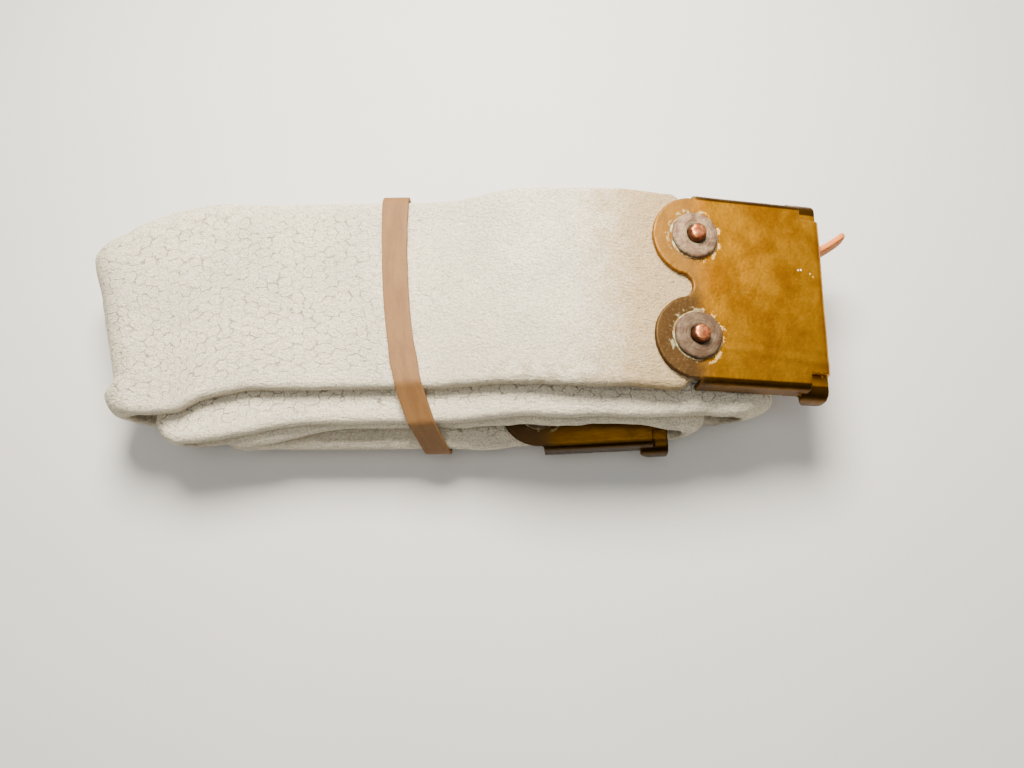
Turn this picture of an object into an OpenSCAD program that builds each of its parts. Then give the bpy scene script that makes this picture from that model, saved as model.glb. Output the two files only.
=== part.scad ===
// Folded web strap with a stamped brass end at each end of the webbing, held by a rubber band.
// Units are millimetres. X runs along the strap, Y across it, Z up. The underside rests on Z = 0.

/* [Webbing] */
// Width of the webbing
web_w = 32; // [31:0.25:32.5]
// Thickness of the webbing
web_t = 2.6; // [2.3:0.05:2.65]

/* [Brass ends] */
// Thickness of the brass sheet
sheet_t = 0.9; // [0.6:0.05:0.95]
// Distance between the two rivets of one end
rivet_gap = 16.1; // [15:0.1:17]
// Radius of the two round lobes
lobe_r = 6.5; // [5.5:0.1:6.8]
// Rivet line to the folded end, upper brass end
upper_reach = 21.5; // [21:0.1:21.5]
// Rivet line to the folded end, lower brass end
lower_reach = 20.4; // [20.2:0.1:21]
// Length of the claws below the top of the plate
claw_depth = 5.8; // [5:0.1:5.8]

/* [Rivets] */
// Diameter of the copper shank
shank_d = 2.9; // [2.4:0.1:3]
// Diameter of the burr over the shank
burr_d = 7.4; // [6.5:0.1:7.6]
// Height of the shank above the burr
tip_h = 1.2; // [0.6:0.1:1.3]

/* [Rubber band] */
// Width of the band
band_w = 4.2; // [3:0.1:4.4]
// Thickness of the band
band_t = 0.75; // [0.5:0.05:0.8]

/* [Hidden] */

web_col = [0.83, 0.82, 0.78];
brass_col = [0.76, 0.58, 0.25];
copper_col = [0.72, 0.5, 0.36];
burr_col = [0.68, 0.62, 0.52];
band_col = [0.74, 0.6, 0.46];
tail_col = [0.9, 0.68, 0.48];

half_w = web_w / 2;
half_t = web_t / 2;
edge_r = 1.1;      // rounding of the webbing edges
play = 0.04;       // gap between parts that touch
arc_n = 3;         // facets in each rounded webbing corner
fold_n = 20;       // sections round a fold

// Where the strap is hinged
flap_x = -10;      // flap pivot, just right of the band
swing_x = -9.5;    // pivot of the inner end
tip_x = 20.8;      // pivot at the lobes of the upper end
flap_open = 70;
tip_open = 50;
end_slope = 0.2035; // fall of the upper end
low_slope = 0.065;  // rise of the lower end
low_skew = 0.035;   // sideways lean of the lower end
up_skew = 0.021;    // sideways lean of the upper end

// Sideways place of the lowest and the innermost pass, and the two rivet lines
y_bottom = -3.3;
y_inner = -8.2;
up_x = 27.65;
low_x = 4.1;

function ss(a, b, x) = let (u = min(1, max(0, (x - a) / (b - a)))) u * u * (3 - 2 * u);
function soft(u, h) = u < -h ? 0 : u > h ? u : (u + h) * (u + h) / (4 * h);

// Height of each pass over X, counted along the strap from the upper end
function z1(x) = 16.2 + 5.6 * ss(-13, 5, x) + 0.7 * ss(0, 18, x) - end_slope * soft(x - 19, 3);
function z2(x) = 2.45 - 1.15 * ss(-9, -3, x);
function z3(x) = 13.45 + 5.05 * ss(-13, 5, x) - 2.6 * ss(16, 36, x);
function z4(x) = 5.2 - 1.15 * ss(-9, -3, x);
function z5(x) = 10.7 + 4.5 * ss(-13, 5, x) - ss(14, 26.2, x);
function z6(x) = 7.95 - 0.6 * ss(-7, -2.5, x) + low_slope * soft(x + 5, 2);
function fall_of(x) = -atan((z1(x + 0.01) - z1(x - 0.01)) / 0.02);

// Sideways place of each pass over X
function y1(x) = -1.72 * ss(-10, 27, x) - 3.6 * ss(-40, -62, x) - up_skew * soft(x - 25, 2);
function y3(x) = -5 - 3 * ss(-30, -56, x) + 0.5 * ss(20, 34, x);
function y4(x) = -6.2 - 1.1 * ss(-40, -54, x);
function y5(x) = -5.2 - 3 * ss(-26, -45, x) - 0.5 * ss(-8, 8, x) - 0.9 * ss(16, 30, x);
function y6(x) = y_inner - 1.4 * ss(-6, 4, x) + low_skew * soft(x - 4, 2);

function place(k, x) = [
  x,
  k == 1 ? y1(x) : k == 2 ? y_bottom : k == 3 ? y3(x) : k == 4 ? y4(x) : k == 5 ? y5(x) : y6(x),
  k == 1 ? z1(x) : k == 2 ? z2(x) : k == 3 ? z3(x) : k == 4 ? z4(x) : k == 5 ? z5(x) : z6(x)];

// Pass k sampled between two X values
function pass(k, a, b, n) = [for (i = [0:n]) place(k, a + (b - a) * i / n)];

// A fold: half an ellipse from pass ka to pass kb, leaving x0 towards side
function fold(ka, kb, x0, rx, side) = [for (i = [1:fold_n - 1])
  let (
    a = 180 * i / fold_n,
    p = place(ka, x0),
    q = place(kb, x0)
  )
  [x0 + side * rx * sin(a), p[1] + (q[1] - p[1]) * (1 - cos(a)) / 2, (p[2] + q[2]) / 2 + (p[2] - q[2]) / 2 * cos(a)]];

// Section across the strap: rounded at both edges, [across, thickness]
function corner(cx, cz, r, a0) = [for (i = [0:arc_n])
  let (a = a0 + 90 * i / arc_n)
  [cx + r * cos(a), cz + r * sin(a)]];
function section(near, far, h) = let (r = min(edge_r, h * 0.84)) concat(
  corner(far - r, h - r, r, 0),
  [[4 - near, h]],
  corner(r - near, h - r, r, 90),
  corner(r - near, r - h, r, 180),
  [[4 - near, -h]],
  corner(far - r, r - h, r, 270));

// The same with more points on the outer face, for the curved fold line of the outermost turn
function coil_section(near, far, h) = let (r = min(edge_r, h * 0.84)) concat(
  corner(far - r, h - r, r, 0),
  [[4 - near, h]],
  corner(r - near, h - r, r, 90),
  corner(r - near, r - h, r, 180),
  [for (d = [4, 7.5]) [d - near, -h]],
  [for (d = [10.5, 7.5, 5]) [far - d, -h]],
  corner(far - r, r - h, r, 270));

// Rounded rectangle, half width w and half height h
function ribbon(w, h) = let (r = 0.84 * min(w, h)) concat(
  corner(w - r, h - r, r, 0),
  corner(r - w, h - r, r, 90),
  corner(r - w, r - h, r, 180),
  corner(w - r, r - h, r, 270));

// Outermost turn: its far corner swells and is drawn in, and its fold line runs at a slant
function trim(x) = 1.5 * ss(-60, -66, x) - 1.65 * (ss(-41, -51, x) - ss(-55, -62, x));
function slant(x, y) = (1.45 - 0.267 * (y + 1)) * ss(-48, -62, x)
  + (soft(y - 7.9, 1) - 0.4 * ss(2, 5, y) - 1.95 * ss(-13, -16.2, y)) * ss(-60, -67, x);

// Direction of a path in XZ at station i
function dir(p, i) = let (
  a = p[max(0, i - 1)],
  b = p[min(len(p) - 1, i + 1)],
  d = [b[0] - a[0], 0, b[2] - a[2]]
) d / norm(d);
function heading(fall) = [cos(fall), 0, -sin(fall)];
function across(t) = [-t[2], 0, t[0]];

module sweep(rings, closed = false) {
  n = len(rings);
  m = len(rings[0]);
  last = closed ? n : n - 1;
  polyhedron(
    points = [for (g = rings) each g],
    faces = concat(
      [for (i = [0:last - 1], j = [0:m - 1]) [i * m + j, (i + 1) % n * m + (j + 1) % m, i * m + (j + 1) % m]],
      [for (i = [0:last - 1], j = [0:m - 1]) [i * m + j, (i + 1) % n * m + j, (i + 1) % n * m + (j + 1) % m]],
      closed ? [] : [[for (j = [0:m - 1]) j], [for (j = [m - 1:-1:0]) (n - 1) * m + j]]),
    convexity = 12);
}

// Room for a hinge: round socket plus the wedge swept as the moving side lifts
module hinge_room(px, pz, fall, open) {
  lift = 90 + open + 2;
  wedge = 7;
  translate([px, 0, pz])
    rotate([90, fall, 0])
      linear_extrude(height = 3 * web_w, center = true)
        union() {
          circle(r = half_t + play, $fn = 48);
          polygon([[0, 0], [wedge * cos(lift), wedge * sin(lift)], [0, wedge * sin(lift)]]);
        }
}

// Round nose of a hinged piece, drawn as thinning sections before its first full one
function nose(px, py, pz, t, near, far) = [for (a = [80, 65, 50, 35, 20, 10])
  [for (q = section(near, far, half_t * cos(a)))
    [px, py, pz] - half_t * sin(a) * t + [0, q[0], 0] + q[1] * across(t)]];

f1_x = -64;
f2_x = -54.3;
f3_x = -45;
r1_x = 36;
r2_x = 26.2;

coil_path = concat(
  pass(1, flap_x, f1_x, 26),
  fold(1, 2, f1_x, 5.9, -1),
  pass(2, f1_x, r1_x, 34),
  fold(2, 3, r1_x, 4.7, 1),
  pass(3, r1_x, f2_x, 38),
  fold(3, 4, f2_x, 3.4, -1),
  pass(4, f2_x, r2_x, 28),
  fold(4, 5, r2_x, 3.6, 1),
  pass(5, r2_x, f3_x, 34),
  fold(5, 6, f3_x, 1.375, -1),
  pass(6, f3_x, swing_x, 8));
outer_n = 26 + fold_n + 24; // stations that belong to the outermost turn

module strap_coil() {
  color(web_col)
    difference() {
      sweep([for (i = [0:len(coil_path) - 1])
        let (
          p = coil_path[i],
          n = across(dir(coil_path, i)),
          outer = i < outer_n,
          cut = outer ? trim(p[0]) : 0
        )
        [for (q = coil_section(half_w, half_w - cut, half_t))
          let (v = p + [0, q[0], 0] + q[1] * n)
          [v[0] + (outer ? slant(v[0], v[1]) : 0), v[1], v[2]]]]);
      hinge_room(flap_x, z1(flap_x), fall_of(flap_x), flap_open);
      translate([swing_x, y_inner, z6(swing_x) - half_t - 2 * play])
        cylinder(r = half_w + play, h = web_t + 4 * play, $fn = 96);
    }
}

// Top pass from the band to the lobes of the upper end
module strap_upper_flap() {
  t0 = heading(fall_of(flap_x));
  p = pass(1, flap_x, tip_x, 30);
  color(web_col)
    difference() {
      sweep(concat(
        nose(flap_x, y1(flap_x), z1(flap_x), t0, half_w, half_w),
        [for (i = [0:len(p) - 1]) [for (q = section(half_w, half_w, half_t))
          p[i] + [0, q[0], 0] + q[1] * across(i == 0 ? t0 : dir(p, i))]]));
      hinge_room(tip_x, z1(tip_x), fall_of(tip_x), tip_open);
    }
}

up_fall = atan(end_slope);
low_rise = atan(low_slope);
low_turn = atan(low_skew);
up_turn = atan(up_skew);
web_stop = 14.9;      // webbing ends short of the folded edge
squeeze = 1.75;       // webbing is narrower between the flanges

// Webbing under the upper plate
module strap_upper_tip() {
  t0 = heading(fall_of(tip_x));
  x_end = up_x + web_stop * cos(up_fall);
  p = pass(1, tip_x, x_end, 20);
  color(web_col)
    difference() {
      sweep(concat(
        nose(tip_x, y1(tip_x), z1(tip_x), t0, half_w, half_w),
        [for (i = [0:len(p) - 1])
          let (w = half_w - squeeze * ss(up_x - 2.8, up_x + 0.2, p[i][0]))
          [for (q = section(w, w, half_t)) p[i] + [0, q[0], 0] + q[1] * across(i == 0 ? t0 : dir(p, i))]]));
      upper_place()
        rivet_pair()
          cylinder(d = shank_d + 2 * play, h = 8, center = true, $fn = 48);
    }
}

// Innermost pass right of the band: a round end inside the coil lets it swing out sideways
module strap_inner_end() {
  x_end = low_x + web_stop * cos(low_rise);
  disc = [for (i = [0:11]) let (a = 84 - 7 * i) [swing_x - half_w * sin(a), half_w * cos(a)]];
  p = pass(6, swing_x, x_end, 28);
  color(web_col)
    difference() {
      sweep(concat(
        [for (d = disc) [for (q = section(d[1], d[1], half_t)) [d[0], y_inner + q[0], z6(swing_x) + q[1]]]],
        [for (i = [0:len(p) - 1])
          let (
            far = half_w - squeeze * ss(low_x - 2.8, low_x + 0.2, p[i][0]),
            near = half_w - squeeze * ss(-6, low_x + 0.2, p[i][0])
          )
          [for (q = section(near, far, half_t)) p[i] + [0, q[0], 0] + q[1] * across(dir(p, i))]]));
      lower_place()
        rivet_pair()
          cylinder(d = shank_d + 2 * play, h = 8, center = true, $fn = 48);
    }
}

// Frames of the two ends: the rivet line on the upper face of the webbing
module upper_place() {
  translate([up_x, y1(up_x), z1(up_x)])
    rotate([0, up_fall, 0])
      translate([0, 0, half_t])
        rotate(-up_turn)
          children();
}

module lower_place() {
  translate([low_x, y6(low_x), z6(low_x)])
    rotate([0, -low_rise, 0])
      translate([0, 0, half_t])
        rotate(low_turn)
          children();
}

module rivet_pair() {
  for (s = [-1, 1])
    translate([0, s * rivet_gap / 2, 0])
      children();
}

bend_y = 14.2;       // start of the flange bend
bend_r = 0.3;        // inner radius of the flange bend
splay = 8;           // flanges lean outwards
flange_drop = 2.2;   // straight part of a flange
flange_len = 18;
hem_r = 0.25;        // inner radius of the folded end
hem_len = 3.35;      // length of the layer folded under
hem_w = 25.4;
notch_x = -2.3;      // centre of the round notch between the lobes
claw_root = 4.5;     // width of a claw along X at its root
claw_tip = 2.8;      // and at its tip
claw_lean = 17;

function ring_pts(c, r, a0, a1, n) = [for (i = [0:n])
  let (a = a0 + (a1 - a0) * i / n)
  [c[0] + r * cos(a), c[1] + r * sin(a)]];

// Flange outline in YZ: bend over the webbing edge, then down and out
module flange_2d() {
  c = [bend_y, play - bend_r];
  d = flange_drop * [sin(splay), -cos(splay)];
  outer = ring_pts(c, bend_r + sheet_t, 90, splay, 10);
  inner = ring_pts(c, bend_r, splay, 90, 6);
  polygon(concat(outer, [outer[10] + d, inner[0] + d], inner));
}

// Claw outline in YZ: out from the folded layer, down, tip curled inwards
module claw_2d() {
  z0 = play - 2 * hem_r - sheet_t / 2;
  r1 = 1.3;
  r2 = 3;
  curl = 40;
  c1 = [14.8, z0 - r1];
  p1 = c1 + r1 * [cos(claw_lean), sin(claw_lean)];
  fixed = r2 * (sin(claw_lean) + sin(curl));
  len1 = (claw_depth - sheet_t + p1[1] - fixed) / cos(claw_lean);
  d = max(0.1, len1) * [sin(claw_lean), -cos(claw_lean)];
  c2 = p1 + d - r2 * [cos(claw_lean), sin(claw_lean)];
  h = sheet_t / 2;
  polygon(concat(
    [[hem_w / 2 - 1, z0 + h]],
    ring_pts(c1, r1 + h, 90, claw_lean, 10),
    ring_pts(c2, r2 + h, claw_lean, -curl, 10),
    ring_pts(c2, r2 - h, -curl, claw_lean, 10),
    ring_pts(c1, r1 - h, claw_lean, 90, 10),
    [[hem_w / 2 - 1, z0 - h]]));
}

// Claw outline in XZ: a tapering tongue with a rounded tip
module tongue_2d(reach) {
  r = 1.2;
  low = sheet_t - claw_depth;
  hull() {
    translate([reach - claw_root, -1.8])
      square([claw_root, 4]);
    for (x = [reach - claw_tip + r, reach - r - 0.2])
      translate([x, low + r])
        circle(r = r, $fn = 48);
  }
}

module yz_extrude(x0, x1) {
  translate([x0, 0, 0])
    rotate([90, 0, 90])
      linear_extrude(height = x1 - x0)
        children();
}

module brass_end(reach) {
  hem_x = reach - hem_r - sheet_t;
  color(brass_col)
    union() {
      difference() {
        translate([0, 0, play])
          linear_extrude(height = sheet_t)
            difference() {
              union() {
                rivet_pair()
                  circle(r = lobe_r, $fn = 96);
                translate([0, -bend_y])
                  square([flange_len, 2 * bend_y]);
                translate([notch_x, -rivet_gap / 2])
                  square([1 - notch_x, rivet_gap]);
                translate([flange_len - 0.5, -hem_w / 2])
                  square([hem_x - flange_len + 0.5, hem_w]);
              }
              translate([notch_x, 0])
                circle(r = rivet_gap / 2 - sqrt(lobe_r * lobe_r - notch_x * notch_x), $fn = 48);
            }
        rivet_pair()
          cylinder(d = shank_d + 2 * play, h = 8, center = true, $fn = 64);
      }
      for (s = [0, 1])
        mirror([0, s, 0]) {
          yz_extrude(0.4, flange_len)
            flange_2d();
          intersection() {
            yz_extrude(reach - claw_root, reach)
              claw_2d();
            rotate([90, 0, 0])
              linear_extrude(height = 80, center = true)
                tongue_2d(reach);
          }
        }
      // folded end
      translate([hem_x, 0, play - hem_r])
        rotate([90, 0, 0])
          linear_extrude(height = hem_w, center = true)
            union() {
              difference() {
                circle(r = hem_r + sheet_t, $fn = 64);
                circle(r = hem_r, $fn = 32);
                translate([-4, -4])
                  square([4, 8]);
              }
              translate([-hem_len, -hem_r - sheet_t])
                square([hem_len + 0.01, sheet_t]);
            }
    }
}

// Rivet: flat head below the webbing, shank through webbing and plate
module rivet() {
  head_d = 8.2;
  head_h = 0.9;
  burr_top = play + sheet_t + play + burr_h;
  color(copper_col)
    union() {
      translate([0, 0, -web_t - play - head_h])
        cylinder(d = head_d, h = head_h, $fn = 64);
      translate([0, 0, -web_t - play - head_h / 2])
        cylinder(d = shank_d, h = web_t + play + head_h / 2 + burr_top + tip_h - 0.35, $fn = 48);
      translate([0, 0, burr_top + tip_h - 0.35])
        cylinder(d1 = shank_d, d2 = shank_d - 0.7, h = 0.35, $fn = 48);
    }
}

burr_h = 1;

// Burr: domed washer pressed over the shank
module burr() {
  dome = 0.3;
  color(burr_col)
    translate([0, 0, sheet_t + 2 * play])
      difference() {
        union() {
          cylinder(d = burr_d, h = burr_h - dome, $fn = 72);
          translate([0, 0, burr_h - dome])
            cylinder(d1 = burr_d, d2 = burr_d - 2.4, h = dome, $fn = 72);
        }
        cylinder(d = shank_d + play, h = 8, center = true, $fn = 64);
      }
}

module on_side(s) {
  translate([0, s * rivet_gap / 2, 0])
    children();
}

// Rubber band: a stretched loop lying on the corners of the stack, each a [y, z] circle centre
stack = [
  [14.9, 16.4], [-14.9, 16.4], [-19.9, 13.72], [-23.1, 8.15],
  [-23.1, 7.75], [-21.1, 5], [-18.2, 2.25], [11.6, 2.25], [14.9, 16]
];
bend_n = 4;
lap = edge_r + 0.1;

function out_dir(i) = let (
  n = len(stack),
  a = stack[i % n],
  b = stack[(i + 1) % n],
  d = (b - a) / norm(b - a)
) [d[1], -d[0]];
function turn(i) = let (v = out_dir(i)) atan2(v[1], v[0]);
function near_turn(a, b) = b - 360 * round((b - a) / 360);
function band_x(y, z) = -18.5 - 0.109 * y + 0.00414 * y * y + 0.13 * (15 - z) * ss(10, -14, y);

// The straight runs are halved several times, because the band bows along them
function band_line(mid) = [for (i = [0:len(stack) - 1])
  let (
    n = len(stack),
    a = turn((i + n - 1) % n),
    b = near_turn(a, turn(i)),
    end = stack[(i + 1) % n],
    cuts = norm(end - stack[i]) > 10 ? 6 : norm(end - stack[i]) > 4 ? 2 : 1,
    out = out_dir(i)
  )
  each concat(
    [for (k = [0:bend_n]) let (g = a + (b - a) * k / bend_n) [stack[i] + mid * [cos(g), sin(g)], [cos(g), sin(g)]]],
    [for (k = [1:1:cuts - 1]) [stack[i] + (end - stack[i]) * k / cuts + mid * out, out]])];

module rubber_band() {
  line = band_line(lap + band_t / 2);
  n = len(line);
  at = [for (g = line) [band_x(g[0][0], g[0][1]), g[0][0], g[0][1]]];
  sec = ribbon(band_w / 2, band_t / 2);
  color(band_col)
    sweep([for (i = [0:n - 1])
      let (
        along = at[(i + 1) % n] - at[(i + n - 1) % n],
        o = [0, line[i][1][0], line[i][1][1]],
        w = cross(along, o),
        wide = (w[0] > 0 ? w : -w) / norm(w)
      )
      [for (q = sec) at[i] + q[0] * wide + q[1] * o]], true);
}

// Loose tail of rubber caught under the upper end, turning on edge as it comes out
module band_tail() {
  n = 14;
  tail_h = 1.15;
  color(tail_col)
    sweep([for (i = [0:n])
      let (
        u = i / n,
        c = [40.6 + 14.1 * u, 3.6 + 4.4 * u * u + 1.8 * u, 15.8 - 1.55 * ss(0, 0.5, u)],
        roll = 84 * ss(0.1, 0.6, u),
        w = 1.75 * sqrt(max(0.15, 1 - pow(max(0, (u - 0.86) / 0.14), 2))) * (1 - 0.1 * u),
        b = [-0.2 * cos(roll), cos(roll), sin(roll)],
        t = [0.2, -sin(roll), cos(roll)]
      )
      [for (q = ribbon(w, tail_h / 2)) c + q[0] * b + q[1] * t]]);
}

strap_coil();
strap_upper_flap();
strap_upper_tip();
strap_inner_end();
upper_place() brass_end(upper_reach);  // upper_brass_end
upper_place() on_side(1) rivet();  // upper_rivet_far
upper_place() on_side(-1) rivet();  // upper_rivet_near
upper_place() on_side(1) burr();  // upper_burr_far
upper_place() on_side(-1) burr();  // upper_burr_near
lower_place() brass_end(lower_reach);  // lower_brass_end
lower_place() on_side(1) rivet();  // lower_rivet_far
lower_place() on_side(-1) rivet();  // lower_rivet_near
lower_place() on_side(1) burr();  // lower_burr_far
lower_place() on_side(-1) burr();  // lower_burr_near
rubber_band();
band_tail();
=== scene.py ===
"""Looks for the folded web strap: webbing, brass ends, copper rivets and rubber band.

Lengths are millimetres in the shared frame, and MM turns them into metres. The strap is a
flattened spiral of six passes, counted along it: pass 1 is the top one and carries the upper
brass end, and pass 6 is the innermost one and carries the lower brass end.
"""

import math
import bpy
import numpy as np
from mathutils import Matrix, Vector


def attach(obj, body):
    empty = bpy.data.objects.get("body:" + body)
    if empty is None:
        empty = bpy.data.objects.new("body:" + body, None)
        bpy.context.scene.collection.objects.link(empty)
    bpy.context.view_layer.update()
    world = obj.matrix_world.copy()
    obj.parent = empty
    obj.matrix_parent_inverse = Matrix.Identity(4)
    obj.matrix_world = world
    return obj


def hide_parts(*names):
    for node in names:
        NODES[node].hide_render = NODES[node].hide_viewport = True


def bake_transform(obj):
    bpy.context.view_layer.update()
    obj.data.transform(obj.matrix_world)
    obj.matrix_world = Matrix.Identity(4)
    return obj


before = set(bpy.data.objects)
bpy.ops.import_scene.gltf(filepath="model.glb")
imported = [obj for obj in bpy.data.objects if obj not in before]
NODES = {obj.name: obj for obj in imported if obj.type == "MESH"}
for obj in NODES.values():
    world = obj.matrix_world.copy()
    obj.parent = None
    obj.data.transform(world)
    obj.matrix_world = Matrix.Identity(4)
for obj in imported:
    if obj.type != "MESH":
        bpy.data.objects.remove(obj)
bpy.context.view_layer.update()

MM = 0.001

# ---------------------------------------------------------------- sizes (as in the CAD)
WEB_W = 32.0
WEB_T = 2.6
HALF_W = WEB_W / 2
HALF_T = WEB_T / 2
EDGE_R = 1.15              # rounding of the webbing's edges
FLAT = HALF_W - EDGE_R     # half width of the flat faces
FLAP_X = -10.0             # joint where the top pass lifts
SWING_X = -9.5             # joint where the inner end swings
TIP_X = 20.8               # joint where the upper brass end flexes
UP_X = 27.65               # rivet line of the upper brass end
LOW_X = 4.1                # rivet line of the lower brass end
END_SLOPE, UP_SKEW = 0.2035, 0.021
LOW_SLOPE, LOW_SKEW = 0.065, 0.035
RIVET_GAP = 16.1
Y_BOTTOM, Y_INNER = -3.3, -8.2


def ss(a, b, x):
    """Smooth step from 0 at a to 1 at b."""
    u = np.clip((np.asarray(x, float) - a) / (b - a), 0, 1)
    return u * u * (3 - 2 * u)


def soft(u, h):
    """Ramp that starts at 0, rounded over h on both sides."""
    u = np.asarray(u, float)
    return np.where(u < -h, 0, np.where(u > h, u, (u + h) ** 2 / (4 * h)))


# height and sideways place of each pass over x
def z1(x):
    return 16.2 + 5.6 * ss(-13, 5, x) + 0.7 * ss(0, 18, x) - END_SLOPE * soft(x - 19, 3)


def z2(x):
    return 2.45 - 1.15 * ss(-9, -3, x)


def z3(x):
    return 13.45 + 5.05 * ss(-13, 5, x) - 2.6 * ss(16, 36, x)


def z4(x):
    return 5.2 - 1.15 * ss(-9, -3, x)


def z5(x):
    return 10.7 + 4.5 * ss(-13, 5, x) - ss(14, 26.2, x)


def z6(x):
    return 7.95 - 0.6 * ss(-7, -2.5, x) + LOW_SLOPE * soft(x + 5, 2)


def y1(x):
    return -1.72 * ss(-10, 27, x) - 3.6 * ss(-40, -62, x) - UP_SKEW * soft(x - 25, 2)


def y2(x):
    return Y_BOTTOM + 0 * np.asarray(x, float)


def y3(x):
    return -5 - 3 * ss(-30, -56, x) + 0.5 * ss(20, 34, x)


def y4(x):
    return -6.2 - 1.1 * ss(-40, -54, x)


def y5(x):
    return -5.2 - 3 * ss(-26, -45, x) - 0.5 * ss(-8, 8, x) - 0.9 * ss(16, 30, x)


def y6(x):
    return Y_INNER - 1.4 * ss(-6, 4, x) + LOW_SKEW * soft(x - 4, 2)


PASS_Y = {1: y1, 2: y2, 3: y3, 4: y4, 5: y5, 6: y6}
PASS_Z = {1: z1, 2: z2, 3: z3, 4: z4, 5: z5, 6: z6}


def run(a, b, k, n=400):
    """Points of pass k between two X values."""
    x = np.linspace(a, b, n)
    return np.stack([x, PASS_Y[k](x), PASS_Z[k](x)], 1)


def fold(x0, ka, kb, rx, side, n=160):
    """Half an ellipse of reach rx from pass ka to pass kb, to the right for side +1."""
    a = np.linspace(0, math.pi, n + 1)[1:-1]
    (ya, za), (yb, zb) = ((float(PASS_Y[k](x0)), float(PASS_Z[k](x0))) for k in (ka, kb))
    x = x0 + side * rx * np.sin(a)
    y = ya + (yb - ya) * (1 - np.cos(a)) / 2
    z = (za + zb) / 2 + (za - zb) / 2 * np.cos(a)
    return np.stack([x, y, z], 1)


def arclen(p):
    d = np.linalg.norm(np.diff(p[:, [0, 2]], axis=0), axis=1)
    return np.concatenate([[0], np.cumsum(d)])


TANGENT_REACH = 0.25


def resample(p, step):
    """Cuts a path at steps that depend on its arc length s.

    Returns s, the points and the two parts of the direction in XZ."""
    s = arclen(p)
    at = [0.0]
    while at[-1] < s[-1]:
        at.append(at[-1] + step(at[-1]))
    at[-1] = s[-1]
    at = np.array(at)
    q = np.stack([np.interp(at, s, p[:, k]) for k in range(3)], 1)
    lo, hi = (np.clip(at + k * TANGENT_REACH, 0, s[-1]) for k in (-1, 1))
    dx = np.interp(hi, s, p[:, 0]) - np.interp(lo, s, p[:, 0])
    dz = np.interp(hi, s, p[:, 2]) - np.interp(lo, s, p[:, 2])
    n = np.hypot(dx, dz)
    return at, q, dx / n, dz / n


# ---------------------------------------------------------------- small smooth noise, seeded
LATTICE = 64


def noise2(u, v, seed):
    """Value noise between -1 and 1, one cell per unit."""
    g = np.random.default_rng(seed).uniform(-1, 1, (LATTICE, LATTICE))
    u, v = np.asarray(u, float), np.asarray(v, float)
    iu, iv = np.floor(u).astype(int), np.floor(v).astype(int)
    fu, fv = u - iu, v - iv
    fu, fv = fu * fu * (3 - 2 * fu), fv * fv * (3 - 2 * fv)
    iu, iv, ju, jv = iu % LATTICE, iv % LATTICE, (iu + 1) % LATTICE, (iv + 1) % LATTICE
    a, b, c, d = g[iu, iv], g[ju, iv], g[iu, jv], g[ju, jv]
    return (a * (1 - fu) + b * fu) * (1 - fv) + (c * (1 - fu) + d * fu) * fv


# ---------------------------------------------------------------- section across the strap
ARC_STEPS = 10


def section_param(top_step, under_step):
    """Points round the section, as (place across, outward term, thickness term).

    The first is the point's place on the flat face. The other two go from -1 to 1, and the
    outward term is 0 on the flat faces. The loop starts in the middle of the roughly cut
    side, so that the pattern's seam lies there."""
    n_top = int(2 * FLAT / top_step)
    n_half = int(FLAT / under_step)
    arc = [math.pi * k / ARC_STEPS for k in range(1, ARC_STEPS)]
    pts = [(FLAT * k / n_half, 0.0, -1.0) for k in range(n_half + 1)]
    pts += [(FLAT, math.sin(a), -math.cos(a)) for a in arc]
    pts += [(FLAT - 2 * FLAT * k / n_top, 0.0, 1.0) for k in range(n_top + 1)]
    pts += [(-FLAT, -math.sin(a), math.cos(a)) for a in arc]
    pts += [(-FLAT + FLAT * k / n_half, 0.0, -1.0) for k in range(n_half)]
    return np.array(pts)


def section_across(par, near, far):
    """Place across for half widths near and far."""
    scale = np.where(par[:, 0] >= 0, (far - EDGE_R) / FLAT, (near - EDGE_R) / FLAT)
    return par[:, 0] * scale + EDGE_R * par[:, 1]


def perimeter(par):
    """Distance of each point round the section from the middle of the fine side, and the sum."""
    w = par[:, 0] + EDGE_R * par[:, 1]
    t = HALF_T * par[:, 2]
    d = np.hypot(np.diff(w, append=w[0]), np.diff(t, append=t[0]))
    p = np.concatenate([[0], np.cumsum(d)[:-1]])
    total = d.sum()
    return total / 2 - p, total


HEX_S = 3.8    # length of one crack cell period along the strap
HEX_P = 1.75   # and across it
CELL_H = 0.035                 # swelling of each cell
WAVE_H, RIPPLE_H = 0.10, 0.05  # slow waves and ripples of the faces
WOBBLE, FRAY = 0.22, 0.10      # the same for the edges
SLIDE_RELIEF = 0.03            # highest relief where the band slides
SLIDE_CALM = 0.85              # share of the edges' unevenness that is taken away there
ROUND_RELIEF = 0.6             # share of the relief on the rounded edges


def pillow(s, p):
    """Low swelling of each cell of the woven surface, -1 to 1."""
    return np.cos(2 * np.pi * s / HEX_S) * np.cos(2 * np.pi * p / HEX_P / 2)


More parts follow.
